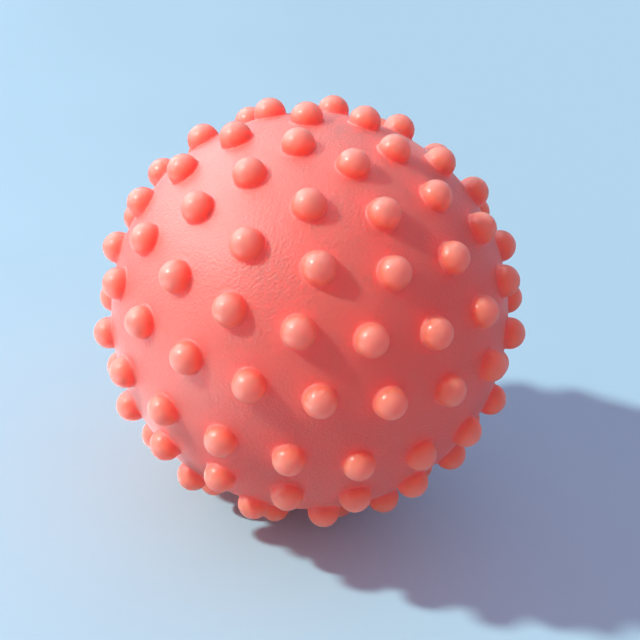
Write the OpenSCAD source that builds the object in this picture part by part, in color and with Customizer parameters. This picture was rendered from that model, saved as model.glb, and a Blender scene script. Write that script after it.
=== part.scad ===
// Hollow sensory ball in soft vinyl: one moulded skin covered with rows of round nubs,
// with an air valve in its lowest point. The origin is the centre of the ball, and the
// rows of nubs run round the upright axis, which is the axis of the mould and the valve.

/* [Skin] */
// Diameter of the plain skin between the nubs
skin_d = 91.4; // [80:0.2:110]
// Thickness of the skin between the nubs
wall_t = 2.4; // [1.6:0.1:3.6]

/* [Nubs] */
// Diameter of the round dome of a nub
nub_d = 7.3; // [5.6:0.1:8]
// Height of the tip of a nub above the skin
nub_h = 4.3; // [3.6:0.1:5.2]
// Width that the moulded root adds round the foot of a nub
root_w = 0.4; // [0.2:0.05:0.7]
// Height above the skin at which the root has drawn in to the dome
root_h = 0.9; // [0.6:0.05:1.2]

/* [Valve sleeve] */
// Diameter of the bore that takes the stopper
bore_d = 5.1; // [4:0.1:6]
// Thickness of the sleeve round its bore
sleeve_t = 1.3; // [0.8:0.1:1.8]
// Length of the sleeve
sleeve_l = 10; // [8:0.5:14]
// Width of the flange that locks the sleeve into the skin
flange_w = 1.2; // [0.6:0.1:1.4]
// Thickness of that flange
flange_t = 1.4; // [1:0.1:2]
// Length of sleeve between its outer end and the flange
flange_z = 4; // [3:0.1:5]
// Chamfer that leads the stopper into the bore
lead_in = 0.5; // [0.2:0.05:0.7]

/* [Valve boss] */
// Thickness of the boss outside the flange of the sleeve
boss_t = 1.5; // [1:0.1:2]
// Chamfer round the inner end of the boss
boss_chamfer = 0.9; // [0.3:0.1:1.4]
// Length of sleeve that stands bare beyond the boss
sleeve_bare = 1; // [0.4:0.1:2]

/* [Stopper] */
// Diameter of the head of the stopper
head_d = 8.4; // [7.6:0.1:9]
// Depth of the recess that the head fills, measured at the pole
head_t = 1.5; // [1.1:0.1:2]
// Chamfer round the edge of the head, under the skin
head_chamfer = 0.3; // [0.1:0.05:0.5]
// Depth by which the shank is slimmer than its sealing ribs
rib_h = 0.3; // [0.15:0.05:0.5]
// Width of the flat top of a sealing rib
rib_w = 0.9; // [0.5:0.1:1.2]
// Number of sealing ribs on the shank
rib_count = 3; // [1:1:3]
// Distance from one sealing rib to the next
rib_pitch = 2.8; // [2.5:0.1:2.9]
// Length of the tapered tip that stands out of the sleeve
tip_l = 2.4; // [1:0.1:4]
// Diameter of the end of the tip
tip_d = 2.6; // [1.6:0.1:3]

/* [Clearances] */
// Gap all round between the sealing ribs and the bore
run_gap = 0.05; // [0.02:0.01:0.1]
// Gap all round between the sleeve and the skin that is moulded over it
mould_gap = 0.02; // [0.01:0.01:0.05]
// Gap between the under side of the head and the sleeve
seat_gap = 0.05; // [0.02:0.01:0.2]
// Gap round the head, for a finger nail
nail_gap = 0.5; // [0.3:0.05:0.8]

/* [Hidden] */

// Rows of nubs in the upper half: the latitude of each row and how many nubs it has.
// The lower half mirrors them.
row_lats = [76, 60, 44, 27, 10];
row_counts = [5, 9, 13, 17, 19];
// Angle round the upright axis at which each row starts, from the pole to the equator
upper_starts = [70, 19, 21, 14, 12];
lower_starts = [18, 32, 14, 20, 7];

skin_r = skin_d / 2;
inner_r = skin_r - wall_t;
nub_r = nub_d / 2;
// Height of the centre of the dome above the skin
dome_z = nub_h - nub_r;
root_r = nub_r + root_w;
// Depth of the middle of the wall, where what is moulded in one with the skin starts
mid_wall = wall_t / 2;

bore_r = bore_d / 2;
sleeve_r = bore_r + sleeve_t;
flange_r = sleeve_r + flange_w;
boss_r = flange_r + boss_t;
// Levels along the valve, inwards from the outside of the skin at the pole
sleeve_start = head_t;
flange_start = sleeve_start + flange_z;
flange_end = flange_start + flange_t;
sleeve_end = sleeve_start + sleeve_l;
boss_end = sleeve_end - sleeve_bare;

head_r = head_d / 2;
rib_r = bore_r - run_gap;
shank_r = rib_r - rib_h;
shank_start = sleeve_start - seat_gap;
shank_end = sleeve_end;
// Level at which the outermost sealing rib begins, just past the lead-in of the bore
first_rib = sleeve_start + lead_in + rib_h;
// Length by which a cut runs past the faces that it opens
cut_over = wall_t;

round_fn = 96;
nub_fn = 32;

// Carries its children from the centre of the ball to the skin at the lower pole
module at_valve() {
  translate([0, 0, -skin_r])
    children();
}

// A solid turned round the axis of the valve from an outline of [radius, level] points
module turned(outline) {
  rotate_extrude($fn = round_fn)
    polygon(outline);
}

// One nub on the upper pole: a round dome on a short root that draws in to it
module nub() {
  translate([0, 0, skin_r + dome_z])
    sphere(r = nub_r, $fn = nub_fn);
  translate([0, 0, skin_r - mid_wall])
    cylinder(
      r1 = root_r + root_w * mid_wall / root_h,
      r2 = nub_r - root_w,
      h = mid_wall + 2 * root_h,
      $fn = nub_fn
    );
}

// A ring of evenly spaced nubs at one latitude
module nub_row(latitude, count, start) {
  for (i = [0 : count - 1])
    rotate([0, 90 - latitude, start + i * 360 / count])
      nub();
}

// All rows, with the lower half at the mirrored latitudes
module nubs() {
  for (r = [0 : len(row_lats) - 1]) {
    nub_row(row_lats[r], row_counts[r], upper_starts[r]);
    nub_row(-row_lats[r], row_counts[r], lower_starts[r]);
  }
}

// The thick boss inside the skin that holds the sleeve
module valve_boss() {
  at_valve()
    turned([
      [0, mid_wall],
      [boss_r, mid_wall],
      [boss_r, boss_end - boss_chamfer],
      [boss_r - boss_chamfer, boss_end],
      [0, boss_end]
    ]);
}

// The room that the sleeve, its flange and the stopper's head take out of the skin
module valve_room() {
  hole_r = sleeve_r + mould_gap;
  groove_r = flange_r + mould_gap;
  recess_r = head_r + nail_gap;
  at_valve()
    turned([
      [0, -cut_over],
      [recess_r, -cut_over],
      [recess_r, sleeve_start],
      [hole_r, sleeve_start],
      [hole_r, flange_start - mould_gap],
      [groove_r, flange_start - mould_gap],
      [groove_r, flange_end + mould_gap],
      [hole_r, flange_end + mould_gap],
      [hole_r, boss_end + cut_over],
      [0, boss_end + cut_over]
    ]);
}

module ball_skin() {
  color("#ee7468")
    difference() {
      union() {
        difference() {
          union() {
            sphere(r = skin_r, $fn = round_fn);
            nubs();
          }
          sphere(r = inner_r, $fn = round_fn);
        }
        valve_boss();
      }
      valve_room();
    }
}

module valve_sleeve() {
  color("#f3d9cf")
    at_valve()
      turned([
        [bore_r + lead_in, sleeve_start],
        [sleeve_r, sleeve_start],
        [sleeve_r, flange_start],
        [flange_r, flange_start],
        [flange_r, flange_end],
        [sleeve_r, flange_end],
        [sleeve_r, sleeve_end],
        [bore_r, sleeve_end],
        [bore_r, sleeve_start + lead_in]
      ]);
}

// Outline of one sealing rib, from its outer flank to its inner one
function rib(level) = [
  [shank_r, level],
  [rib_r, level + rib_h],
  [rib_r, level + rib_h + rib_w],
  [shank_r, level + rib_w + 2 * rib_h]
];

module valve_stopper() {
  color("#f7ebe4") {
    at_valve()
      turned(concat(
        [[0, shank_start - head_t / 2], [shank_r, shank_start - head_t / 2]],
        [for (i = [0 : rib_count - 1]) each rib(first_rib + i * rib_pitch)],
        [[shank_r, shank_end], [tip_d / 2, shank_end + tip_l], [0, shank_end + tip_l]]
      ));
    // The outer face of the head carries on the round of the skin
    intersection() {
      sphere(r = skin_r, $fn = round_fn);
      at_valve()
        turned([
          [0, -head_t],
          [head_r, -head_t],
          [head_r, shank_start - head_chamfer],
          [head_r - head_chamfer, shank_start],
          [0, shank_start]
        ]);
    }
  }
}

ball_skin();
valve_sleeve();
valve_stopper();
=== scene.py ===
"""Looks of a soft vinyl sensory ball.

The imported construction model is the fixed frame. Round it this script models the nubbed skin, the valve
sleeve and the pull-out stopper, gives each its vinyl, and lights them on a pale floor. Sizes are in
millimetres and turn to metres where a mesh is made. Angles are in radians, unless degrees are named.
"""

import logging
import math
from collections.abc import Callable, Iterator
from contextlib import contextmanager
from dataclasses import dataclass, field
from enum import Enum

import bpy
from mathutils import Matrix, Vector
from mathutils.kdtree import KDTree


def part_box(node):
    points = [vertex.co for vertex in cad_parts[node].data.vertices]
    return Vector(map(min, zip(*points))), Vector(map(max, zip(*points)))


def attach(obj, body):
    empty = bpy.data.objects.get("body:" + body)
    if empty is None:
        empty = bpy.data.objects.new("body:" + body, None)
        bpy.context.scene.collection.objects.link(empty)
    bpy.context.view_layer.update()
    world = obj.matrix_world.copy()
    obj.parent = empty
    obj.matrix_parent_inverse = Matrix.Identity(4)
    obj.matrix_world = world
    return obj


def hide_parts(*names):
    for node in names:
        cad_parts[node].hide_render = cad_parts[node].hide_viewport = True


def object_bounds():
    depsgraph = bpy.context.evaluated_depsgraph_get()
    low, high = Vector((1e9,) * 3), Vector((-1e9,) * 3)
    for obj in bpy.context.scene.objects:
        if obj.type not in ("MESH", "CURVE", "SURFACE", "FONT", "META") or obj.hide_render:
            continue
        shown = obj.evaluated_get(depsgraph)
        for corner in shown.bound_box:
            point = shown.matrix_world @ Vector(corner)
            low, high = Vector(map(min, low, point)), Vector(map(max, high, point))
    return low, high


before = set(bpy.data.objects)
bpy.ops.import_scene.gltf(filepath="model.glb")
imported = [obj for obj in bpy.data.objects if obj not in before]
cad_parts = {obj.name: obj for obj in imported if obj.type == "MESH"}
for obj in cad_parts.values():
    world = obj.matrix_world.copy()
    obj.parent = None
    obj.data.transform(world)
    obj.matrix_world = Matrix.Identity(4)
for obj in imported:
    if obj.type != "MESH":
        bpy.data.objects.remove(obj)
CAD_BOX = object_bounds()

log = logging.getLogger("sensory_ball")

MM = 0.001
LOWER_POLE = Vector((0, 0, -1))
# Share of a rounded corner's size by which its middle point stands back from the sharp corner
CORNER_CUT = 0.3
# Distance under which two points of a turned solid are one
MERGE_UNDER = 0.002
# Faces that meet at less than these angles look smooth, in degrees
SKIN_SMOOTH_UNDER = 50
TURNED_SMOOTH_UNDER = 40

Profile = list[tuple[float, float]]
Colour = tuple[float, float, float]
Place = tuple[float, float, float]
Outlet = tuple[bpy.types.Node, str]


class Body(Enum):
    """The bodies of the construction model that a piece can ride on."""

    BALL = "ball"
    STOPPER = "stopper"


class Slot(Enum):
    """The material slots of the record."""

    SOFT = "soft_vinyl"
    FIRM = "firm_vinyl"
    PLUG = "stopper_vinyl"


class Element(Enum):
    """The elements of a mesh that are selected in edit mode."""

    POINT = "VERT"
    FACE = "FACE"


def farthest_reach(node: str) -> float:
    """Greatest distance of a construction node's surface from the ball's centre.

    Args:
        node: Name of the node.

    Returns:
        The distance in millimetres.
    """
    return max(v.co.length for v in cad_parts[node].data.vertices) / MM


def lowest_level(node: str) -> float:
    """Height of a construction node's lowest point."""
    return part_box(node)[0].z / MM


def highest_level(node: str) -> float:
    """Height of a construction node's highest point."""
    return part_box(node)[1].z / MM


def arc(centre: tuple[float, float], radius: float, start: float, end: float, steps: int) -> Profile:
    """Points of a circular arc in a profile's plane.

    Args:
        centre: Centre of the arc as radius and level.
        radius: Radius of the arc.
        start: Angle of the first point.
        end: Angle of the last point.
        steps: Number of equal steps between them.

    Returns:
        The points, both ends included.
    """
    turns = [start + (end - start) * i / steps for i in range(steps + 1)]
    return [(centre[0] + radius * math.cos(t), centre[1] + radius * math.sin(t)) for t in turns]


def select_only(*objects: bpy.types.Object) -> None:
    """Selects some objects and nothing else, and makes the first one active.

    Args:
        objects: The objects to select.
    """
    bpy.ops.object.select_all(action="DESELECT")
    for one in objects:
        one.select_set(True)
    bpy.context.view_layer.objects.active = objects[0]


@contextmanager
def editing(
    piece: bpy.types.Object, kind: Element = Element.FACE, wanted: Callable[..., bool] | None = None
) -> Iterator[None]:
    """Holds a piece in edit mode, with the wanted elements of its mesh selected.

    Args:
        piece: The piece to edit.
        kind: The elements that are selected.
        wanted: Test of a point or face, or None to select the whole mesh.

    Yields:
        Once, with the piece in edit mode.
    """
    select_only(piece)
    bpy.ops.object.mode_set(mode="EDIT")
    bpy.ops.mesh.select_mode(type=kind.value)
    bpy.ops.mesh.select_all(action="SELECT" if wanted is None else "DESELECT")
    if wanted is not None:
        bpy.ops.object.mode_set(mode="OBJECT")
        for element in piece.data.vertices if kind is Element.POINT else piece.data.polygons:
            element.select = wanted(element)
        bpy.ops.object.mode_set(mode="EDIT")
    yield
    bpy.ops.object.mode_set(mode="OBJECT")


def apply_place(piece: bpy.types.Object) -> None:
    """Moves a piece's place, turn and scale into its mesh."""
    select_only(piece)
    bpy.ops.object.transform_apply(location=True, rotation=True, scale=True)


def join_placed(parts: list[bpy.types.Object]) -> bpy.types.Object:
    """Joins parts to one object at the origin.

    Args:
        parts: The parts, which become one.

    Returns:
        The first part, which holds them all.
    """
    select_only(*parts)
    bpy.ops.object.join()
    apply_place(parts[0])
    return parts[0]


def walk_cap(start: tuple[float, float], path: Profile) -> None:
    """Draws the selected round face along a profile about the upright axis, in edit mode.

    Args:
        start: Radius and height at which the face stands.
        path: The radii and heights that its rim then passes through.
    """
    radius, height = start
    for next_radius, next_height in path:
        bpy.ops.mesh.extrude_region_move(
            TRANSFORM_OT_translate={"value": (0, 0, (next_height - height) * MM)}
        )
        share = next_radius / radius
        bpy.ops.transform.resize(value=(share, share, 1), center_override=(0, 0, next_height * MM))
        radius, height = next_radius, next_height


class NodeSheet:
    """A node tree that is filled from left to right."""

    spacing: int = 180

    def __init__(self, tree: bpy.types.NodeTree) -> None:
        """Starts an empty sheet on a tree."""
        self.tree = tree
        tree.nodes.clear()

    def add(
        self, kind: str, values: dict[str | int, object] | None = None, **settings: object
    ) -> bpy.types.Node:
        """Adds a node.

        Args:
            kind: Blender's name of the node type.
            values: Values of its inputs, by their names or numbers.
            settings: Attributes to set on it.

        Returns:
            The new node.
        """
        node = self.tree.nodes.new(kind)
        node.location = (self.spacing * len(self.tree.nodes), 0)
        for name, value in settings.items():
            setattr(node, name, value)
        for label, value in (values or {}).items():
            node.inputs[label].default_value = value
        return node

    def wire(self, source: bpy.types.Node, outlet: str, target: bpy.types.Node, inlet: str | int) -> None:
        """Joins an output of one node to an input of another."""
        self.tree.links.new(source.outputs[outlet], target.inputs[inlet])


def group_sheet(name: str, inputs: dict[str, str], outputs: dict[str, str]) -> NodeSheet:
    """Starts a shader node group with named sockets.

    Args:
        name: Name of the group.
        inputs: Each input's socket type.
        outputs: Each output's socket type.

    Returns:
        The sheet of the group's tree.
    """
    tree = bpy.data.node_groups.new(name, "ShaderNodeTree")
    for label, kind in inputs.items():
        tree.interface.new_socket(label, in_out="INPUT", socket_type=kind)
    for label, kind in outputs.items():
        tree.interface.new_socket(label, in_out="OUTPUT", socket_type=kind)
    return NodeSheet(tree)


def moulded_grain() -> bpy.types.NodeTree:
    """Fine grain that a blasted mould leaves on vinyl.

    Returns:
        A group that turns a place and a grain size into the height of the grain.
    """
    inputs = {"Vector": "NodeSocketVector", "Grains per metre": "NodeSocketFloat"}
    sheet = group_sheet("moulded_grain", inputs, {"Height": "NodeSocketFloat"})
    entry = sheet.add("NodeGroupInput")
    cells = sheet.add("ShaderNodeTexNoise", {"Detail": 3.0, "Roughness": 0.6})
    pores = sheet.add("ShaderNodeTexVoronoi", {"Smoothness": 0.6}, feature="SMOOTH_F1")
    blend = sheet.add("ShaderNodeMix", {"Factor": 0.75}, data_type="FLOAT")
    leave = sheet.add("NodeGroupOutput")
    for texture in (cells, pores):
        sheet.wire(entry, "Vector", texture, "Vector")
        sheet.wire(entry, "Grains per metre", texture, "Scale")
    sheet.wire(cells, "Fac", blend, "A")
    sheet.wire(pores, "Distance", blend, "B")
    sheet.wire(blend, "Result", leave, "Height")
    return sheet.tree


def pigment_drift() -> bpy.types.NodeTree:
    """Slow change of a moulded colour from place to place.

    Returns:
        A group that turns a place and two colours into their mix there, and the mask that mixes them.
    """
    sheet = group_sheet(
        "pigment_drift",
        {
            "Vector": "NodeSocketVector",
            "Colour": "NodeSocketColor",
            "Thin colour": "NodeSocketColor",
            "Patches per metre": "NodeSocketFloat",
        },
        {"Colour": "NodeSocketColor", "Mask": "NodeSocketFloat"},
    )
    entry = sheet.add("NodeGroupInput")
    patches = sheet.add("ShaderNodeTexNoise", {"Detail": 2.0})
    spread = sheet.add("ShaderNodeMapRange", {"From Min": 0.35, "From Max": 0.65})
    mix = sheet.add("ShaderNodeMix", data_type="RGBA")
    leave = sheet.add("NodeGroupOutput")
    sheet.wire(entry, "Vector", patches, "Vector")
    sheet.wire(entry, "Patches per metre", patches, "Scale")
    sheet.wire(patches, "Fac", spread, "Value")
    sheet.wire(spread, "Result", mix, "Factor")
    sheet.wire(entry, "Colour", mix, "A")
    sheet.wire(entry, "Thin colour", mix, "B")
    sheet.wire(mix, "Result", leave, "Colour")
    sheet.wire(spread, "Result", leave, "Mask")
    return sheet.tree


def nub_rise(skin_radius: float, tip_radius: float) -> bpy.types.NodeTree:
    """How far a place on the ball rises from the skin towards the nubs' tips.

    Args:
        skin_radius: Radius of the skin.
        tip_radius: Distance of a nub's tip from the ball's centre.

    Returns:
        A group that turns a place into two masks. Flank is 0 on the skin and 1 on a nub, and the top's mask
        is 1 only on its top, where a lighter colour is painted as light.
    """
    # The shares of a nub's height between which each mask rises; the top's mask places the painted light
    spans = {"Flank": (0.0, 0.5), "Top": (0.3, 1.0)}
    sheet = group_sheet("nub_rise", {"Vector": "NodeSocketVector"}, dict.fromkeys(spans, "NodeSocketFloat"))
    entry = sheet.add("NodeGroupInput")
    reach = sheet.add("ShaderNodeVectorMath", operation="LENGTH")
    leave = sheet.add("NodeGroupOutput")
    sheet.wire(entry, "Vector", reach, 0)
    for mask, shares in spans.items():
        foot, top = ((skin_radius + share * (tip_radius - skin_radius)) * MM for share in shares)
        rise = sheet.add(
            "ShaderNodeMapRange", {"From Min": foot, "From Max": top}, interpolation_type="SMOOTHSTEP"
        )
        sheet.wire(reach, "Value", rise, "Value")
        sheet.wire(rise, "Result", leave, mask)
    return sheet.tree


@dataclass(frozen=True)
class Effects:
    """The node groups that the vinyls share."""

    grain: bpy.types.NodeTree
    drift: bpy.types.NodeTree
    rise: bpy.types.NodeTree


@dataclass(frozen=True)
class NubFinish:
    """What sets the nubs apart from the skin: their colours, a duller body and a thin gloss, and no grain.
    Their tops are painted paler as light, and their deeper colour is partly their own and partly painted
    shade of their flanks.
    """

    # The nubs' deeper colour: partly their own, partly painted shade for the red glow of their shaded flanks
    colour: Colour
    # A paler colour over each nub's top: painted light, where the key light and gloss catch the nubs
    painted_light_top_colour: Colour
    roughness: float
    coat: float
    coat_roughness: float
    plain_height: float = 0.5

    def lay_over(
        self,
        sheet: NodeSheet,
        rise: bpy.types.Node,
        skin: tuple[Outlet, ...],
        shader: bpy.types.Node,
    ) -> tuple[Outlet, ...]:
        """Lays the nubs' looks over the skin's, with painted light on their tops, and gives the shader their
        gloss.

        Args:
            sheet: The material's sheet.
            rise: The node that masks the nubs.
            skin: Outputs with the skin's colour, its roughness and the height of its grain.
            shader: The material's shader.

        Returns:
            The same three outputs for skin and nubs together.
        """
        # The nubs' deeper colour, partly painted shade of their flanks
        deep = sheet.add("ShaderNodeMix", {"B": (*self.colour, 1)}, data_type="RGBA")
        # Painted light: a paler colour laid over the top of each nub
        pale = sheet.add("ShaderNodeMix", {"B": (*self.painted_light_top_colour, 1)}, data_type="RGBA")
        polish = sheet.add("ShaderNodeMix", {"B": self.roughness}, data_type="FLOAT")
        smooth = sheet.add("ShaderNodeMix", {"B": self.plain_height}, data_type="FLOAT")
        coat = sheet.add("ShaderNodeMath", {1: self.coat}, operation="MULTIPLY")
        for mix, skin_side in zip((deep, polish, smooth), skin):
            sheet.wire(rise, "Flank", mix, "Factor")
            sheet.wire(*skin_side, mix, "A")
        sheet.wire(rise, "Top", pale, "Factor")
        sheet.wire(deep, "Result", pale, "A")
        sheet.wire(rise, "Flank", coat, 0)
        sheet.wire(coat, "Value", shader, "Coat Weight")
        shader.inputs["Coat Roughness"].default_value = self.coat_roughness
        return tuple((mix, "Result") for mix in (pale, polish, smooth))


@dataclass(frozen=True)
class VinylFinish:
    """A moulded vinyl: its colours, how far light wanders in it, its sheen and its grain.

    Colours are linear.
    """

    name: str
    colour: Colour
    thin_colour: Colour
    glow: float
    glow_depth: float
    glow_tint: Colour
    roughness: tuple[float, float]
    grain_height: float
    grains_per_metre: float = 1400.0
    patches_per_metre: float = 45.0
    ior: float = 1.45
    dust: float = 0.0
    dust_roughness: float = 0.4
    nubs: NubFinish | None = None

    def build(self, effects: Effects) -> bpy.types.Material:
        """Makes the material.

        Args:
            effects: The shared node groups.

        Returns:
            The material.
        """
        material = bpy.data.materials.new(self.name)
        material.use_nodes = True
        sheet = NodeSheet(material.node_tree)
        place = sheet.add("ShaderNodeTexCoord")
        grain = sheet.add(
            "ShaderNodeGroup", {"Grains per metre": self.grains_per_metre}, node_tree=effects.grain
        )
        pigment = {
            "Colour": (*self.colour, 1),
            "Thin colour": (*self.thin_colour, 1),
            "Patches per metre": self.patches_per_metre,
        }
        drift = sheet.add("ShaderNodeGroup", pigment, node_tree=effects.drift)
        sheen = sheet.add("ShaderNodeMapRange", {"To Min": self.roughness[0], "To Max": self.roughness[1]})
        bump = sheet.add("ShaderNodeBump", {"Strength": 1.0, "Distance": self.grain_height * MM})
        vinyl = {
            "Subsurface Weight": self.glow,
            "Subsurface Radius": self.glow_tint,
            "Subsurface Scale": self.glow_depth * MM,
            "IOR": self.ior,
            "Sheen Weight": self.dust,
            "Sheen Roughness": self.dust_roughness,
        }
        shader = sheet.add("ShaderNodeBsdfPrincipled", vinyl, subsurface_method="BURLEY")
        out = sheet.add("ShaderNodeOutputMaterial")
        sheet.wire(place, "Object", grain, "Vector")
        sheet.wire(place, "Object", drift, "Vector")
        sheet.wire(drift, "Mask", sheen, "Value")
        looks = ((drift, "Colour"), (sheen, "Result"), (grain, "Height"))
        if self.nubs is not None:
            rise = sheet.add("ShaderNodeGroup", node_tree=effects.rise)
            sheet.wire(place, "Object", rise, "Vector")
            looks = self.nubs.lay_over(sheet, rise, looks, shader)
        colour, roughness, height = looks
        sheet.wire(*height, bump, "Height")
        sheet.wire(*colour, shader, "Base Color")
        sheet.wire(*roughness, shader, "Roughness")
        sheet.wire(bump, "Normal", shader, "Normal")
        sheet.wire(shader, "BSDF", out, "Surface")
        return material


SOFT_CORAL = VinylFinish(
    name="soft_coral_vinyl",
    colour=(0.84, 0.121, 0.092),
    thin_colour=(0.86, 0.133, 0.1),
    glow=1.0,
    glow_depth=10.0,
    glow_tint=(1.0, 0.077, 0.04),
    roughness=(0.5, 0.58),
    grain_height=0.14,
    grains_per_metre=1700.0,
    dust=0.12,
    nubs=NubFinish(
        # Deeper nub colour, partly painted shade of their flanks
        colour=(0.92, 0.155, 0.073),
        # Painted light: the paler tops of the nubs
        painted_light_top_colour=(0.96, 0.222, 0.15),
        roughness=0.75,
        coat=0.35,
        coat_roughness=0.22,
    ),
)
FIRM_BLUSH = VinylFinish(
    name="firm_blush_vinyl",
    colour=(0.78, 0.5, 0.4),
    thin_colour=(0.82, 0.55, 0.45),
    glow=0.6,
    glow_depth=1.5,
    glow_tint=(1.0, 0.5, 0.35),
    roughness=(0.36, 0.44),
    grain_height=0.012,
)
PLUG_IVORY = VinylFinish(
    name="plug_ivory_vinyl",
    colour=(0.82, 0.66, 0.56),
    thin_colour=(0.85, 0.7, 0.61),
    glow=0.6,
    glow_depth=1.5,
    glow_tint=(1.0, 0.55, 0.4),
    roughness=(0.34, 0.42),
    grain_height=0.012,
)


def dress(piece: bpy.types.Object, finish: bpy.types.Material) -> None:
    """Gives a piece its material.

    Args:
        piece: The piece to dress.
        finish: Its material.
    """
    piece.data.materials.clear()
    piece.data.materials.append(finish)


@dataclass
class NubRow:
    """One ring of evenly spaced nubs: its latitude, how many nubs, and where the first one is, in degrees."""

    latitude: float
    count: int
    start: float

    def directions(self) -> list[Vector]:
        """Directions of the row's nubs.

        Returns:
            Unit vectors from the ball's centre, one for each nub.
        """
        level = math.radians(self.latitude)
        turns = [math.radians(self.start + 360 * i / self.count) for i in range(self.count)]
        return [
            Vector((math.cos(level) * math.cos(t), math.cos(level) * math.sin(t), math.sin(level)))
            for t in turns
        ]


def mirrored_rows() -> list[NubRow]:
    """Rows of the whole ball.

    Returns:
        The rows of the upper half and then the mirrored ones, each from the pole to the equator.
    """
    latitudes = (76, 60, 44, 27, 10)
    counts = (5, 9, 13, 17, 19)
    upper_starts = (70, 19, 21, 14, 12)
    lower_starts = (18, 32, 14, 20, 7)
    upper = [NubRow(*row) for row in zip(latitudes, counts, upper_starts)]
    lower = [NubRow(-latitude, *row) for latitude, *row in zip(latitudes, counts, lower_starts)]
    return upper + lower


@dataclass
class ValveStack:
    """Radii of the valve, and its levels inwards from the skin at the lower pole."""

    skin_radius: float
    head_radius: float = 4.2
    head_depth: float = 1.5
    nail_gap: float = 0.5
    mould_gap: float = 0.02
    bore_radius: float = 2.55
    sleeve_radius: float = 3.85
    flange_radius: float = 5.05
    flange_from: float = 5.5
    flange_to: float = 6.9
    boss_radius: float = 6.55
    boss_chamfer: float = 0.9
    boss_end: float = 10.5
    segments: int = 48

    def height(self, level: float) -> float:
        """Height, from the ball's centre, of a level of the valve."""
        return level - self.skin_radius

    def at_heights(self, path: Profile) -> Profile:
        """A path of radii and levels as radii and heights."""
        return [(radius, self.height(level)) for radius, level in path]


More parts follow.
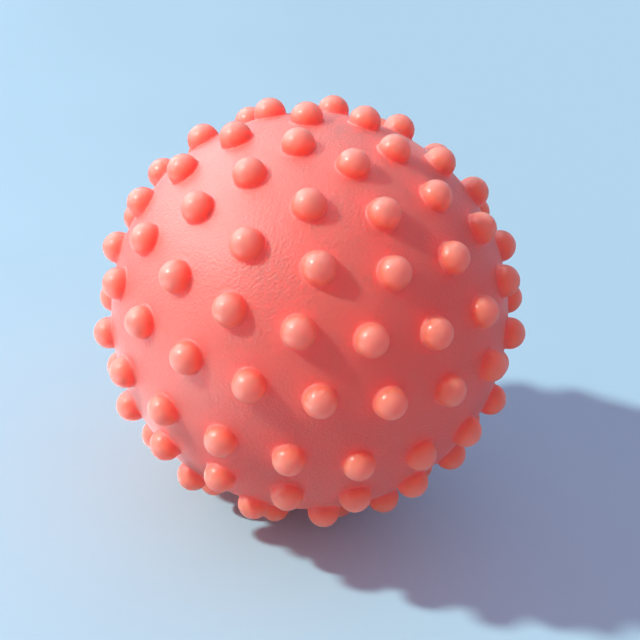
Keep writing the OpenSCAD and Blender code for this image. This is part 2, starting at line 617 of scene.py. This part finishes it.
@dataclass
class BallSkin:
    """The one-piece skin: the round wall, its rows of nubs, and the boss that holds the valve."""

    valve: ValveStack
    skin_radius: float
    tip_radius: float
    rows: list[NubRow] = field(default_factory=mirrored_rows)
    wall: float = 2.4
    nub_radius: float = 3.65
    root_fillet: float = 0.45
    nub_segments: int = 28
    fillet_steps: int = 4
    dome_steps: int = 8
    # Rings of points on the skin, by their distance from a nub's foot and from the valve's mouth
    nub_collars: tuple[float, ...] = (0.75, 1.7)
    valve_collar: float = 0.7
    # Fineness of the points between the rings, and how far they stay from a nub's collars and the mouth
    subdivisions: int = 6
    nub_margin: float = 1.0
    mouth_margin: float = 1.5
    # How far the nubs' collars stay from the valve's mouth
    collar_margin: float = 1.2
    # Angle within which a point on a ring's edge still counts as inside it
    slack: float = 0.001
    # A round face is taken for a foot or the mouth when it has lost fewer points than this in closing
    lost_points: int = 4
    # Rounded lip of the valve's recess, the rounding at its bottom, and the lead into narrower rooms
    lip: float = 0.35
    lip_steps: int = 4
    corner: float = 0.25
    lead: float = 0.1
    # Rounding at the root of the boss, and the steps of the inner wall
    boss_root: float = 0.8
    inner_steps: int = 26

    def nub_profile(self) -> Profile:
        """Outline of a nub, from the skin through the root's fillet and over the dome.

        The fillet's centre lies a fillet's radius outside both the skin and the dome.

        Returns:
            Radii about the nub's axis and heights from the ball's centre.
        """
        dome_height = self.tip_radius - self.nub_radius
        to_skin = self.skin_radius + self.root_fillet
        to_dome = self.nub_radius + self.root_fillet
        height = (to_skin**2 - to_dome**2 + dome_height**2) / (2 * dome_height)
        radius = math.sqrt(to_skin**2 - height**2)
        from_skin = math.atan2(-height, -radius)
        from_dome = math.atan2(dome_height - height, -radius) % (2 * math.pi) - 2 * math.pi
        fillet = arc((radius, height), self.root_fillet, from_skin, from_dome, self.fillet_steps)
        foot_of_dome = math.atan2(height - dome_height, radius)
        dome = arc((0, dome_height), self.nub_radius, foot_of_dome, math.pi / 2, self.dome_steps)
        return fillet + dome[1:-1]

    def ring(self, radius: float, height: float, segments: int, number: int) -> bpy.types.Object:
        """A ring of points about the upright axis.

        Args:
            radius: Radius of the ring.
            height: Its height from the ball's centre.
            segments: Number of points.
            number: Place of the ring among its neighbours. Every other one is turned by half a step.

        Returns:
            The ring.
        """
        bpy.ops.mesh.primitive_circle_add(
            vertices=segments,
            radius=radius * MM,
            location=(0, 0, height * MM),
            rotation=(0, 0, math.pi / segments * (number % 2)),
        )
        return bpy.context.object

    def foot(self, spread: float) -> bpy.types.Object:
        """The rings of points that lie on the skin round one nub, about the upper pole.

        Args:
            spread: Angle from the nub's axis to the foot of its root.

        Returns:
            One object with the rings' points.
        """
        skin = self.skin_radius
        angles = [spread + reach / skin for reach in (0.0, *self.nub_collars)]
        return join_placed([
            self.ring(skin * math.sin(t), skin * math.cos(t), self.nub_segments, number)
            for number, t in enumerate(angles)
        ])

    def valve_rings(self) -> bpy.types.Object:
        """The rings of points that lie on the skin round the valve's recess, at the lower pole.

        Returns:
            One object with the rings' points.
        """
        radii = [self.mouth_radius() + reach for reach in (0.0, self.valve_collar)]
        return join_placed([
            self.ring(radius, -math.sqrt(self.skin_radius**2 - radius**2), self.valve.segments, number)
            for number, radius in enumerate(radii)
        ])

    def mouth_radius(self) -> float:
        """Radius at which the lip of the valve's recess leaves the skin."""
        return self.valve.head_radius + self.valve.nail_gap + self.lip

    def lay_out(self, axes: list[Vector], spread: float) -> bpy.types.Object:
        """Lays out the skin's points: rings round each nub and the valve, and a ball's points between them.

        Args:
            axes: Directions of the nubs.
            spread: Angle from a nub's axis to the foot of its root.

        Returns:
            One object with all the points.
        """
        foot = self.foot(spread)
        copies = []
        for axis in axes:
            one = foot.copy()
            one.data = foot.data.copy()
            one.data.transform(axis.to_track_quat("Z", "Y").to_matrix().to_4x4())
            bpy.context.scene.collection.objects.link(one)
            copies.append(one)
        bpy.data.objects.remove(foot)
        bpy.ops.mesh.primitive_ico_sphere_add(subdivisions=self.subdivisions, radius=self.skin_radius * MM)
        between = bpy.context.object
        near_nub = spread + (self.nub_collars[-1] + self.nub_margin) / self.skin_radius
        self.drop_points(between, axes, near_nub, self.mouth_margin)
        select_only(*copies)
        bpy.ops.object.join()
        feet = copies[0]
        self.drop_points(feet, [], 0, self.collar_margin)
        select_only(between, feet, self.valve_rings())
        bpy.ops.object.join()
        return between

    def drop_points(self, piece: bpy.types.Object, axes: list[Vector], near: float, margin: float) -> None:
        """Deletes the points of a piece that lie too near a nub or the valve.

        Args:
            piece: The piece with the points.
            axes: Directions of the nubs to stay clear of.
            near: Angle from a nub's axis within which a point goes.
            margin: Distance from the valve's mouth within which a point goes.
        """
        tree = self.tree_of(axes)
        near_valve = (self.mouth_radius() + margin) / self.skin_radius

        def too_near(point: bpy.types.MeshVertex) -> bool:
            """Whether a point goes."""
            way = point.co.normalized()
            by_nub = bool(axes) and self.angle_to(tree, way)[0] < near
            return by_nub or way.angle(LOWER_POLE) < near_valve

        with editing(piece, Element.POINT, too_near):
            bpy.ops.mesh.delete(type="VERT")

    @staticmethod
    def tree_of(axes: list[Vector]) -> KDTree:
        """A search tree over the nubs' directions.

        Args:
            axes: Directions of the nubs.

        Returns:
            The tree, which finds each direction's place in the list.
        """
        tree = KDTree(len(axes))
        for number, axis in enumerate(axes):
            tree.insert(axis, number)
        tree.balance()
        return tree

    @staticmethod
    def angle_to(tree: KDTree, way: Vector) -> tuple[float, int]:
        """Angle from a direction to the nearest nub's axis, and that nub's number."""
        _, number, chord = tree.find(way)
        return 2 * math.asin(min(1.0, chord / 2)), number

    def close_over(self, skin: bpy.types.Object, axes: list[Vector], spread: float) -> None:
        """Closes the points to one round skin, with one flat face over each nub and over the valve.

        Args:
            skin: The piece with the points.
            axes: Directions of the nubs.
            spread: Angle from a nub's axis to the foot of its root.
        """
        with editing(skin):
            bpy.ops.mesh.convex_hull(use_existing_faces=False, make_holes=False, join_triangles=False)
        tree = self.tree_of(axes)
        mouth = math.asin(self.mouth_radius() / self.skin_radius)
        owners = []
        for point in skin.data.vertices:
            way = point.co.normalized()
            angle, number = self.angle_to(tree, way)
            owner = number if angle < spread + self.slack else None
            if way.angle(LOWER_POLE) < mouth + self.slack:
                owner = len(axes)
            owners.append(owner)

        def in_one_foot(face: bpy.types.MeshPolygon) -> bool:
            """Whether all of a face's points lie on one nub's foot, or on the valve's mouth."""
            sharing = {owners[i] for i in face.vertices}
            return len(sharing) == 1 and None not in sharing

        with editing(skin, Element.FACE, in_one_foot):
            bpy.ops.mesh.dissolve_faces()

    def is_foot(self, face: bpy.types.MeshPolygon) -> bool:
        """Whether a face is the flat foot of a nub."""
        return self.nub_segments - self.lost_points < len(face.vertices) <= self.nub_segments

    def is_mouth(self, face: bpy.types.MeshPolygon) -> bool:
        """Whether a face is the flat mouth of the valve's recess."""
        return self.valve.segments - self.lost_points < len(face.vertices)

    def raise_nubs(self, skin: bpy.types.Object, profile: Profile) -> None:
        """Draws every nub out of the skin at once, step by step along its outline.

        Args:
            skin: The closed skin.
            profile: The nub's outline.
        """
        with editing(skin, Element.FACE, self.is_foot):
            for (radius, height), (next_radius, next_height) in zip(profile, profile[1:]):
                bpy.ops.mesh.inset(
                    thickness=(radius - next_radius) * MM,
                    depth=(next_height - height) * MM,
                    use_individual=True,
                )
            bpy.ops.mesh.poke(offset=(self.tip_radius - profile[-1][1]) * MM)

    def sink_valve(self, skin: bpy.types.Object) -> None:
        """Sinks the valve's recess and bore, and goes on inside round the boss and the inner wall.

        Args:
            skin: The closed skin.
        """
        valve = self.valve
        mouth = self.mouth_radius()
        rim = -math.sqrt(self.skin_radius**2 - mouth**2)
        recess = valve.head_radius + valve.nail_gap
        hole = valve.sleeve_radius + valve.mould_gap
        groove = valve.flange_radius + valve.mould_gap
        lip = arc((mouth, rim + self.lip), self.lip, -math.pi / 2, -math.pi, self.lip_steps)[1:]
        cut = self.corner * CORNER_CUT
        sunk = valve.at_heights([
            (recess, valve.head_depth - self.corner),
            (recess - cut, valve.head_depth - cut),
            (recess - self.corner, valve.head_depth),
            (hole + self.lead, valve.head_depth),
            (hole, valve.head_depth + self.lead),
            (hole, valve.flange_from),
            (groove, valve.flange_from),
            (groove, valve.flange_to),
            (hole, valve.flange_to),
            (hole, valve.boss_end - self.lead),
            (hole + self.lead, valve.boss_end),
            (valve.boss_radius - valve.boss_chamfer, valve.boss_end),
            (valve.boss_radius, valve.boss_end - valve.boss_chamfer),
        ])
        with editing(skin, Element.FACE, self.is_mouth):
            walk_cap((mouth, rim), lip + sunk + self.inner_wall())
            bpy.ops.mesh.poke()

    def inner_wall(self) -> Profile:
        """Outline of the inner side, from the boss's root up to the inner pole.

        Returns:
            Radii about the upright axis and heights from the ball's centre.
        """
        inner = self.skin_radius - self.wall
        boss = self.valve.boss_radius
        foot = math.asin((boss + self.boss_root) / inner)
        turns = [foot + (math.pi - foot) * i / self.inner_steps for i in range(self.inner_steps)]
        wall = [(inner * math.sin(t), -inner * math.cos(t)) for t in turns]
        level = wall[0][1]
        cut = self.boss_root * CORNER_CUT
        return [(boss, level + self.boss_root), (boss + cut, level + cut)] + wall

    def build(self, finish: bpy.types.Material) -> bpy.types.Object:
        """Models the skin and dresses it.

        Args:
            finish: The skin's material.

        Returns:
            The finished piece.
        """
        axes = [way for row in self.rows for way in row.directions()]
        profile = self.nub_profile()
        spread = math.atan2(*profile[0])
        skin = self.lay_out(axes, spread)
        self.close_over(skin, axes, spread)
        feet = sum(1 for face in skin.data.polygons if self.is_foot(face))
        self.raise_nubs(skin, profile)
        self.sink_valve(skin)
        select_only(skin)
        bpy.ops.object.shade_smooth_by_angle(angle=math.radians(SKIN_SMOOTH_UNDER))
        skin.name = skin.data.name = "nubbed_skin"
        dress(skin, finish)
        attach(skin, Body.BALL.value)
        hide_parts("ball_skin")
        log.info("%s: %d of %d nubs, %d faces", skin.name, feet, len(axes), len(skin.data.polygons))
        return skin


def turn_solid(name: str, outline: Profile, segments: int) -> bpy.types.Object:
    """Spins an outline about the upright axis to a solid.

    Args:
        name: Name of the new piece.
        outline: Corners as radius and height, in order. It is closed, or starts and ends on the axis.
        segments: Number of steps in a full turn.

    Returns:
        The solid.
    """
    bpy.ops.mesh.primitive_plane_add(size=MM)
    piece = bpy.context.object
    piece.name = piece.data.name = name
    bpy.ops.object.mode_set(mode="EDIT")
    bpy.ops.mesh.select_mode(type="VERT")
    bpy.ops.mesh.select_all(action="SELECT")
    bpy.ops.mesh.merge(type="CENTER")
    radius, height = outline[0]
    bpy.ops.transform.translate(value=(radius * MM, 0, height * MM))
    for next_radius, next_height in outline[1:]:
        bpy.ops.mesh.extrude_region_move(
            TRANSFORM_OT_translate={"value": ((next_radius - radius) * MM, 0, (next_height - height) * MM)}
        )
        radius, height = next_radius, next_height
    bpy.ops.mesh.select_all(action="SELECT")
    bpy.ops.mesh.spin(steps=segments, angle=2 * math.pi, center=(0, 0, 0), axis=(0, 0, 1))
    bpy.ops.mesh.select_all(action="SELECT")
    bpy.ops.mesh.remove_doubles(threshold=MERGE_UNDER * MM)
    bpy.ops.mesh.normals_make_consistent(inside=False)
    bpy.ops.object.mode_set(mode="OBJECT")
    select_only(piece)
    bpy.ops.object.shade_smooth_by_angle(angle=math.radians(TURNED_SMOOTH_UNDER))
    return piece


@dataclass
class Valve:
    """The two inserts of the valve: the sleeve moulded into the boss, and the stopper pushed into it."""

    stack: ValveStack
    segments: int = 64
    # Bevel of the sharp edges of both
    edge: float = 0.12
    # The lead-in of the bore, which bulges a little: its middle point lies at this share of it
    lead_in: float = 0.5
    lead_in_bulge: float = 0.35
    run_gap: float = 0.05
    seat_gap: float = 0.05
    rib_height: float = 0.3
    rib_width: float = 0.9
    rib_pitch: float = 2.8
    rib_count: int = 3
    # Steps across the face of the stopper's head, and the rounding of its edge
    face_steps: int = 4
    head_edge: float = 0.3
    head_edge_cut: float = 0.08
    # Bevel where the shank meets the head and at the end of the tip, and the radius there
    shank_edge: float = 0.2
    tip_radius: float = 1.3

    def sleeve_outline(self) -> Profile:
        """Closed outline of the sleeve, with a lead-in at its mouth and a flange half way.

        Returns:
            Radii about the upright axis and heights from the ball's centre.
        """
        stack = self.stack
        start = stack.head_depth
        end = highest_level("valve_sleeve") + stack.skin_radius
        bore, outer, flange = stack.bore_radius, stack.sleeve_radius, stack.flange_radius
        bulge = self.lead_in * self.lead_in_bulge
        path = [
            (bore, start + self.lead_in),
            (bore + bulge, start + bulge),
            (bore + self.lead_in, start),
            (outer - self.edge, start),
            (outer, start + self.edge),
            (outer, stack.flange_from),
            (flange, stack.flange_from),
            (flange, stack.flange_to),
            (outer, stack.flange_to),
            (outer, end - self.edge),
            (outer - self.edge, end),
            (bore + self.edge, end),
            (bore, end - self.edge),
            (bore, start + self.lead_in),
        ]
        return stack.at_heights(path)

    def rib_outline(self, level: float) -> Profile:
        """Outline of one sealing rib.

        Args:
            level: Level of the rib's outer foot.

        Returns:
            Radii and levels, from the outer foot to the inner one.
        """
        rib = self.stack.bore_radius - self.run_gap
        shank = rib - self.rib_height
        half_edge = self.edge / 2
        top_from = level + self.rib_height
        top_to = top_from + self.rib_width
        return [
            (shank, level),
            (rib - half_edge, top_from - half_edge),
            (rib, top_from + half_edge),
            (rib, top_to - half_edge),
            (rib - half_edge, top_to + half_edge),
            (shank, top_to + self.rib_height),
        ]

    def stopper_outline(self) -> Profile:
        """Outline of the stopper, from the middle of its head to the end of its tip.

        Returns:
            Radii about the upright axis and heights from the ball's centre.
        """
        stack = self.stack
        head = stack.head_radius
        skin = stack.skin_radius
        seat = stack.head_depth - self.seat_gap
        shank = stack.bore_radius - self.run_gap - self.rib_height
        shares = [i / self.face_steps for i in range(self.face_steps + 1)]
        turns = [math.asin((head - self.head_edge) * share / skin) for share in shares]
        face = [(skin * math.sin(t), skin - skin * math.cos(t)) for t in turns]
        edge_level = face[-1][1]
        rim = [
            (head - self.head_edge_cut, edge_level + self.head_edge_cut),
            (head, edge_level + self.head_edge),
            (head, seat - self.head_edge),
            (head - self.head_edge, seat),
            (shank + self.shank_edge, seat),
            (shank, seat + self.shank_edge),
        ]
        first_rib = stack.head_depth + self.lead_in + self.rib_height
        ribs = [
            corner
            for number in range(self.rib_count)
            for corner in self.rib_outline(first_rib + number * self.rib_pitch)
        ]
        tip = highest_level("valve_stopper") + skin
        taper = [
            (shank, highest_level("valve_sleeve") + skin),
            (self.tip_radius, tip - self.shank_edge),
            (self.tip_radius - self.shank_edge, tip),
            (0, tip),
        ]
        return stack.at_heights(face + rim + ribs + taper)

    def build(self, sleeve_finish: bpy.types.Material, stopper_finish: bpy.types.Material) -> None:
        """Models both inserts and dresses them.

        Args:
            sleeve_finish: The sleeve's material.
            stopper_finish: The stopper's material.
        """
        sleeve = turn_solid("firm_sleeve", self.sleeve_outline(), self.segments)
        dress(sleeve, sleeve_finish)
        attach(sleeve, Body.BALL.value)
        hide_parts("valve_sleeve")
        log.info("%s: %d faces", sleeve.name, len(sleeve.data.polygons))
        stopper = turn_solid("ribbed_stopper", self.stopper_outline(), self.segments)
        dress(stopper, stopper_finish)
        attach(stopper, Body.STOPPER.value)
        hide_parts("valve_stopper")
        log.info("%s: %d faces", stopper.name, len(stopper.data.polygons))


@dataclass(frozen=True)
class StudioPaper:
    """Pale blue paper of the floor, faintly mottled, with painted light that makes it a little brighter to
    the front left.

    The painted light brightens it by its spread over each of the two reaches, which are measured across the
    floor and along it, as far as its shades go. From below it is clear, so that the under side of what stands
    on it can be seen.
    """

    colour: Colour = (0.54, 0.745, 0.86)
    roughness: float = 0.85
    # How much the mottling and the painted light darken and brighten the paper
    spread: float = 0.09
    # Distances over which the painted light brightens the paper, across the floor and along it
    reaches: tuple[float, float] = (140.0, 256.0)
    shades: tuple[float, float] = (-0.5, 1.5)
    patches_per_metre: float = 12.0

    def build(self) -> bpy.types.Material:
        """Makes the material.

        Returns:
            The material.
        """
        dark, bright = ((*(c * (1 + gain) for c in self.colour), 1) for gain in (-self.spread, self.spread))
        # Painted light: the way towards the front left in which the paper is painted brighter
        painted_light_way = (*(-1 / (reach * MM) for reach in self.reaches), 0)
        material = bpy.data.materials.new("pale_blue_paper")
        material.use_nodes = True
        sheet = NodeSheet(material.node_tree)
        place = sheet.add("ShaderNodeTexCoord")
        noise = sheet.add("ShaderNodeTexNoise", {"Scale": self.patches_per_metre})
        # Painted light: a slope of brightness towards the front left, added to the mottling
        painted_light_slope = sheet.add("ShaderNodeVectorMath", {1: painted_light_way}, operation="DOT_PRODUCT")
        uneven = sheet.add("ShaderNodeMath", operation="ADD")
        share = sheet.add("ShaderNodeMapRange", {"From Min": self.shades[0], "From Max": self.shades[1]})
        ramp = sheet.add("ShaderNodeMix", {"A": dark, "B": bright}, data_type="RGBA")
        gloss = {"Roughness": self.roughness, "Specular IOR Level": 0.0}
        shader = sheet.add("ShaderNodeBsdfPrincipled", gloss)
        clear = sheet.add("ShaderNodeBsdfTransparent")
        side = sheet.add("ShaderNodeNewGeometry")
        pick = sheet.add("ShaderNodeMixShader")
        out = sheet.add("ShaderNodeOutputMaterial")
        sheet.wire(place, "Object", noise, "Vector")
        sheet.wire(place, "Object", painted_light_slope, 0)
        sheet.wire(noise, "Fac", uneven, 0)
        sheet.wire(painted_light_slope, "Value", uneven, 1)
        sheet.wire(uneven, "Value", share, "Value")
        sheet.wire(share, "Result", ramp, "Factor")
        sheet.wire(ramp, "Result", shader, "Base Color")
        sheet.wire(side, "Backfacing", pick, "Fac")
        sheet.wire(shader, "BSDF", pick, 1)
        sheet.wire(clear, "BSDF", pick, 2)
        sheet.wire(pick, "Shader", out, "Surface")
        return material


@dataclass(frozen=True)
class Softbox:
    """A round softbox or card that shows in gloss alone, and adds no other light.

    It hangs at one place and faces another, both in the scene's own axes.
    """

    name: str
    place: Place
    faces: Place
    size: float
    radiance: float


# Two wide ones whiten the gloss of the lit side, a small one puts a glint on each nub, and two cards on the
# floor whiten the rim low on the left
SOFTBOXES = (
    Softbox("side_softbox", (-575, 130, 110), (0, 0, 0), 1300, 4.5),
    Softbox("top_softbox", (-330, 250, 440), (0, 0, 0), 1100, 3.6),
    Softbox("front_softbox", (-440, -190, 500), (0, 0, 0), 150, 11.0),
    Softbox("near_card", (-80, 10, -48), (-80, 10, 0), 120, 2.5),
    Softbox("front_card", (-125, -105, -48), (-125, -105, 0), 150, 5.5),
)


@dataclass
class Studio:
    """The photograph's view, the pale floor, a key light from the upper left, and the room's light.

    Its view is a lens over the photograph's pixels. Elevation, roll and the key's softness are in degrees.
    The ways that light comes from run along the view's right, up and back.
    """

    photo_width: float = 640.0
    centre_px: tuple[float, float] = (309.75, 310.5)
    focal_px: float = 1575.6
    distance: float = 365.6
    elevation: float = 33.0
    roll: float = 11.2
    sensor: float = 36.0
    clip: tuple[float, float] = (10.0, 20000.0)
    key_way: Place = (-0.695, 0.57, 0.435)
    key_level: float = 1.0
    key_softness: float = 3.6
    key_colour: Colour = (0.78, 0.97, 0.92)
    room_way: Place = (-0.35, -0.3, 0.89)
    room_warm: Colour = (0.66, 0.3, 0.3)
    room_cool: Colour = (0.27, 0.6, 0.93)
    # The room's light grows from this share at the horizon to its whole at this height of a unit direction
    horizon_share: float = 0.42
    full_height: float = 0.5
    backdrop_colour: Colour = (0.53, 0.74, 0.89)
    softboxes: tuple[Softbox, ...] = SOFTBOXES
    floor_radius: float = 3000.0
    floor_segments: int = 96

    def axes(self) -> tuple[Vector, Vector, Vector]:
        """Directions of the view.

        Returns:
            Its right, up and back directions.
        """
        tilt = math.radians(self.elevation)
        turn = math.radians(self.roll)
        back = Vector((0, -math.cos(tilt), math.sin(tilt)))
        up = Vector((0, math.sin(tilt), math.cos(tilt)))
        right = Vector((1, 0, 0))
        return (
            right * math.cos(turn) + up * math.sin(turn),
            up * math.cos(turn) - right * math.sin(turn),
            back,
        )

    def aim(self, thing: bpy.types.Object, back: Vector, up: Vector) -> None:
        """Turns a camera or lamp.

        Args:
            thing: The camera or lamp.
            back: Unit direction against which it then looks.
            up: Direction that is then towards the top of its view.
        """
        right = up.cross(back).normalized()
        true_up = back.cross(right)
        turn = Matrix((right, true_up, back)).transposed()
        thing.rotation_euler = turn.to_euler()

    def place_camera(self) -> None:
        """Makes the camera at the photograph's viewing angle."""
        right, up, back = self.axes()
        camera = bpy.data.objects.new("camera", bpy.data.cameras.new("camera"))
        bpy.context.scene.collection.objects.link(camera)
        camera.data.sensor_width = self.sensor
        camera.data.lens = self.sensor * self.focal_px / self.photo_width
        half = self.photo_width / 2
        camera.data.shift_x = (half - self.centre_px[0]) / self.photo_width
        camera.data.shift_y = (self.centre_px[1] - half) / self.photo_width
        camera.data.clip_start, camera.data.clip_end = (reach * MM for reach in self.clip)
        camera.location = back * self.distance * MM
        self.aim(camera, back, up)
        bpy.context.scene.camera = camera

    def towards(self, way: Place) -> Vector:
        """Unit direction in the scene of a way given along the view's right, up and back."""
        return sum((axis * share for axis, share in zip(self.axes(), way)), Vector()).normalized()

    def lamp(self, name: str, kind: str, place: Vector) -> bpy.types.Object:
        """Makes a lamp.

        Args:
            name: Its name.
            kind: Blender's name of the lamp type.
            place: Where it hangs, in metres.

        Returns:
            The lamp.
        """
        lamp = bpy.data.objects.new(name, bpy.data.lights.new(name, kind))
        bpy.context.scene.collection.objects.link(lamp)
        lamp.location = place
        return lamp

    def hang_softbox(self, box: Softbox) -> None:
        """Hangs a softbox.

        Args:
            box: The softbox.
        """
        place = Vector(box.place)
        softbox = self.lamp(box.name, "AREA", place * MM)
        self.aim(softbox, (place - Vector(box.faces)).normalized(), Vector((0, 1, 0)))
        softbox.data.shape = "DISK"
        softbox.data.size = box.size * MM
        softbox.data.energy = box.radiance * (math.pi * softbox.data.size / 2) ** 2
        softbox.visible_camera = False
        softbox.visible_diffuse = False

    def hang_key(self) -> None:
        """Hangs the key light, a sun, which is even over the whole floor."""
        way = self.towards(self.key_way)
        key = self.lamp("key", "SUN", way)
        self.aim(key, way, Vector((0, 1, 0)))
        key.data.color = self.key_colour
        key.data.energy = self.key_level * math.pi
        key.data.angle = math.radians(self.key_softness)

    def light_room(self) -> None:
        """Lights the room, warm on the camera's side and cool beyond, with a backdrop behind all."""
        world = bpy.data.worlds.new("room")
        bpy.context.scene.world = world
        world.use_nodes = True
        sheet = NodeSheet(world.node_tree)
        place = sheet.add("ShaderNodeTexCoord")
        side = sheet.add("ShaderNodeVectorMath", {1: self.towards(self.room_way)}, operation="DOT_PRODUCT")
        share = sheet.add("ShaderNodeMapRange", {"From Min": -1.0})
        tones = {"A": (*self.room_cool, 1), "B": (*self.room_warm, 1)}
        tone = sheet.add("ShaderNodeMix", tones, data_type="RGBA")
        level = sheet.add("ShaderNodeSeparateXYZ")
        walls = sheet.add("ShaderNodeMapRange", {"From Max": self.full_height, "To Min": self.horizon_share})
        rays = sheet.add("ShaderNodeLightPath")
        mirrored = sheet.add("ShaderNodeMath", operation="MAXIMUM")
        shown = sheet.add("ShaderNodeMath", operation="MAXIMUM")
        room = sheet.add("ShaderNodeBackground")
        backdrop = sheet.add("ShaderNodeBackground", {"Color": (*self.backdrop_colour, 1)})
        pick = sheet.add("ShaderNodeMixShader")
        out = sheet.add("ShaderNodeOutputWorld")
        sheet.wire(place, "Generated", side, 0)
        sheet.wire(side, "Value", share, "Value")
        sheet.wire(share, "Result", tone, "Factor")
        sheet.wire(tone, "Result", room, "Color")
        sheet.wire(place, "Generated", level, "Vector")
        sheet.wire(level, "Z", walls, "Value")
        sheet.wire(walls, "Result", room, "Strength")
        sheet.wire(rays, "Is Glossy Ray", mirrored, 0)
        sheet.wire(rays, "Is Transmission Ray", mirrored, 1)
        sheet.wire(rays, "Is Camera Ray", shown, 0)
        sheet.wire(mirrored, "Value", shown, 1)
        sheet.wire(shown, "Value", pick, "Fac")
        sheet.wire(room, "Background", pick, 1)
        sheet.wire(backdrop, "Background", pick, 2)
        sheet.wire(pick, "Shader", out, "Surface")

    def lay_floor(self) -> None:
        """Lays the round floor just under the lowest nubs."""
        bpy.ops.mesh.primitive_circle_add(
            vertices=self.floor_segments,
            radius=self.floor_radius * MM,
            fill_type="NGON",
            location=(0, 0, CAD_BOX[0].z),
        )
        floor = bpy.context.object
        floor.name = floor.data.name = "floor"
        apply_place(floor)
        floor.data.materials.append(StudioPaper().build())

    def build(self) -> None:
        """Sets up the whole studio."""
        self.place_camera()
        self.hang_key()
        for box in self.softboxes:
            self.hang_softbox(box)
        self.light_room()
        self.lay_floor()
        bpy.context.scene.view_settings.view_transform = "Standard"
        log.info("studio set")


def main() -> None:
    """Builds the studio and the ball's pieces in order."""
    logging.basicConfig(level=logging.INFO, format="%(name)s: %(message)s")
    Studio().build()
    skin_radius = -lowest_level("valve_stopper")
    tip_radius = farthest_reach("ball_skin")
    effects = Effects(grain=moulded_grain(), drift=pigment_drift(), rise=nub_rise(skin_radius, tip_radius))
    stack = ValveStack(skin_radius=skin_radius)
    BallSkin(valve=stack, skin_radius=skin_radius, tip_radius=tip_radius).build(SOFT_CORAL.build(effects))
    Valve(stack=stack).build(FIRM_BLUSH.build(effects), PLUG_IVORY.build(effects))


if __name__ == "__main__":
    main()
